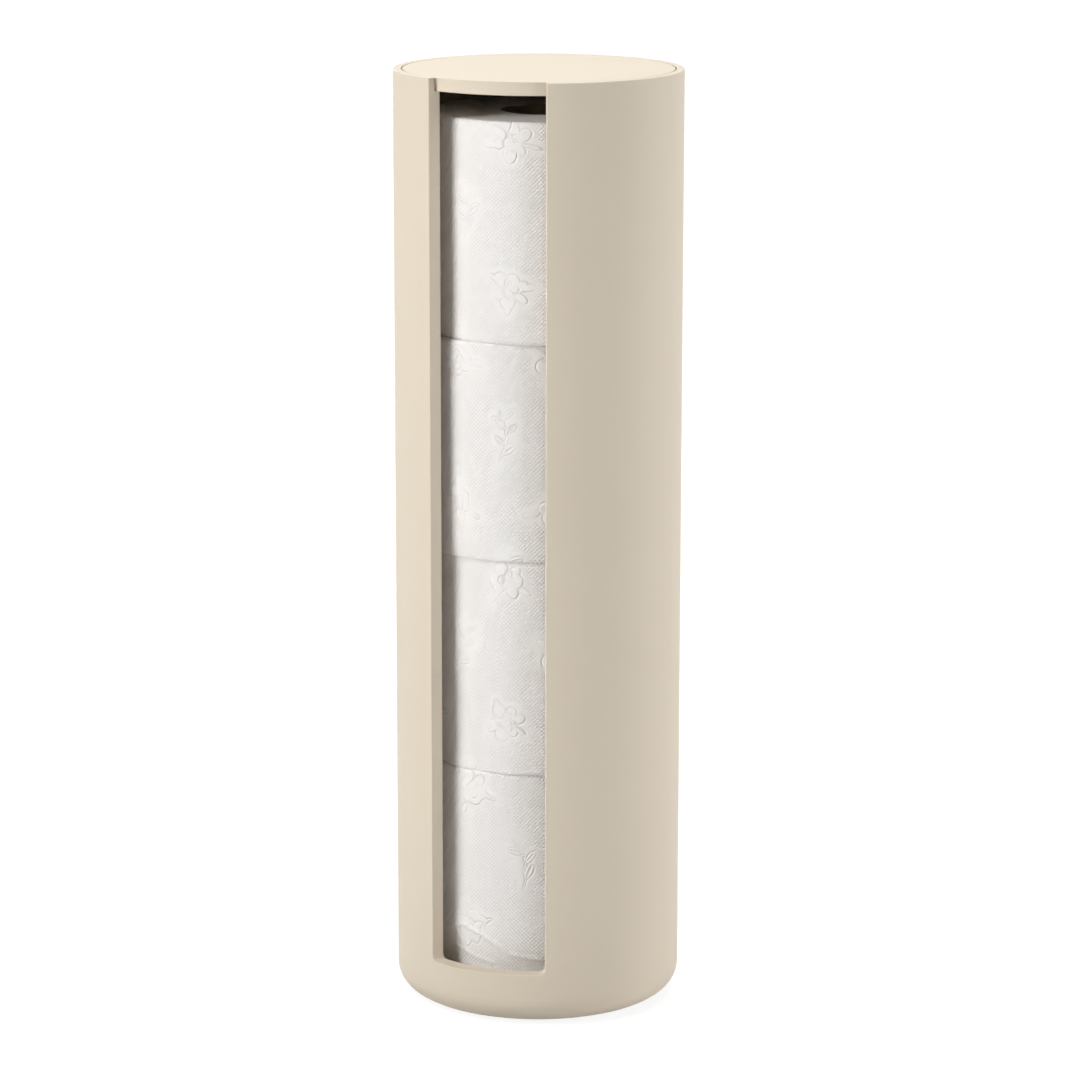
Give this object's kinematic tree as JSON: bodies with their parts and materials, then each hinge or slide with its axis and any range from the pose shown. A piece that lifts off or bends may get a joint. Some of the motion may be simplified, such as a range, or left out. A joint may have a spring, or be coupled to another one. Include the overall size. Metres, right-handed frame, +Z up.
{
  "type": "toilet roll storage holder",
  "caption": "Free-standing round storage tube for a stack of toilet rolls, with a front slot open to the rim, a flush lift-off lid and a weighted, rounded base.",
  "frame": {"origin": "centre of the underside, on the surface that the holder stands on", "axes": "+Z up along the tube's axis, -Y out of the middle of the front slot"},
  "size_m": [0.13, 0.13, 0.4268],
  "materials": {
    "soft_touch_plastic": "matte",
    "cover_plastic": "matte",
    "ballast_steel": "satin",
    "screw_steel": "satin",
    "pad_rubber": "matte",
    "tissue": "matte",
    "core_board": "matte"
  },
  "bodies": {
    "holder": {"tube": "soft_touch_plastic", "base_cover": "cover_plastic", "ballast_disc": "ballast_steel", "base_screws": "screw_steel", "anti_slip_pad": "pad_rubber"},
    "roll_1": {"roll_1_paper": "tissue", "roll_1_core": "core_board"},
    "roll_2": {"roll_2_paper": "tissue", "roll_2_core": "core_board"},
    "roll_3": {"roll_3_paper": "tissue", "roll_3_core": "core_board"},
    "roll_4": {"roll_4_paper": "tissue", "roll_4_core": "core_board"},
    "lid": {"lid": "soft_touch_plastic"}
  },
  "joints": [
    {"name": "roll_1_lift", "type": "slide", "parent": "holder", "child": "roll_1", "axis": [0, 0, 1], "range_m": [0, 0.42]},
    {"name": "roll_2_lift", "type": "slide", "parent": "roll_1", "child": "roll_2", "axis": [0, 0, 1], "range_m": [0, 0.32]},
    {"name": "roll_3_lift", "type": "slide", "parent": "roll_2", "child": "roll_3", "axis": [0, 0, 1], "range_m": [0, 0.22]},
    {"name": "roll_4_lift", "type": "slide", "parent": "roll_3", "child": "roll_4", "axis": [0, 0, 1], "range_m": [0, 0.125]},
    {"name": "lid_lift", "type": "slide", "parent": "roll_4", "child": "lid", "axis": [0, 0, 1], "range_m": [0, 0.08]}
  ]
}
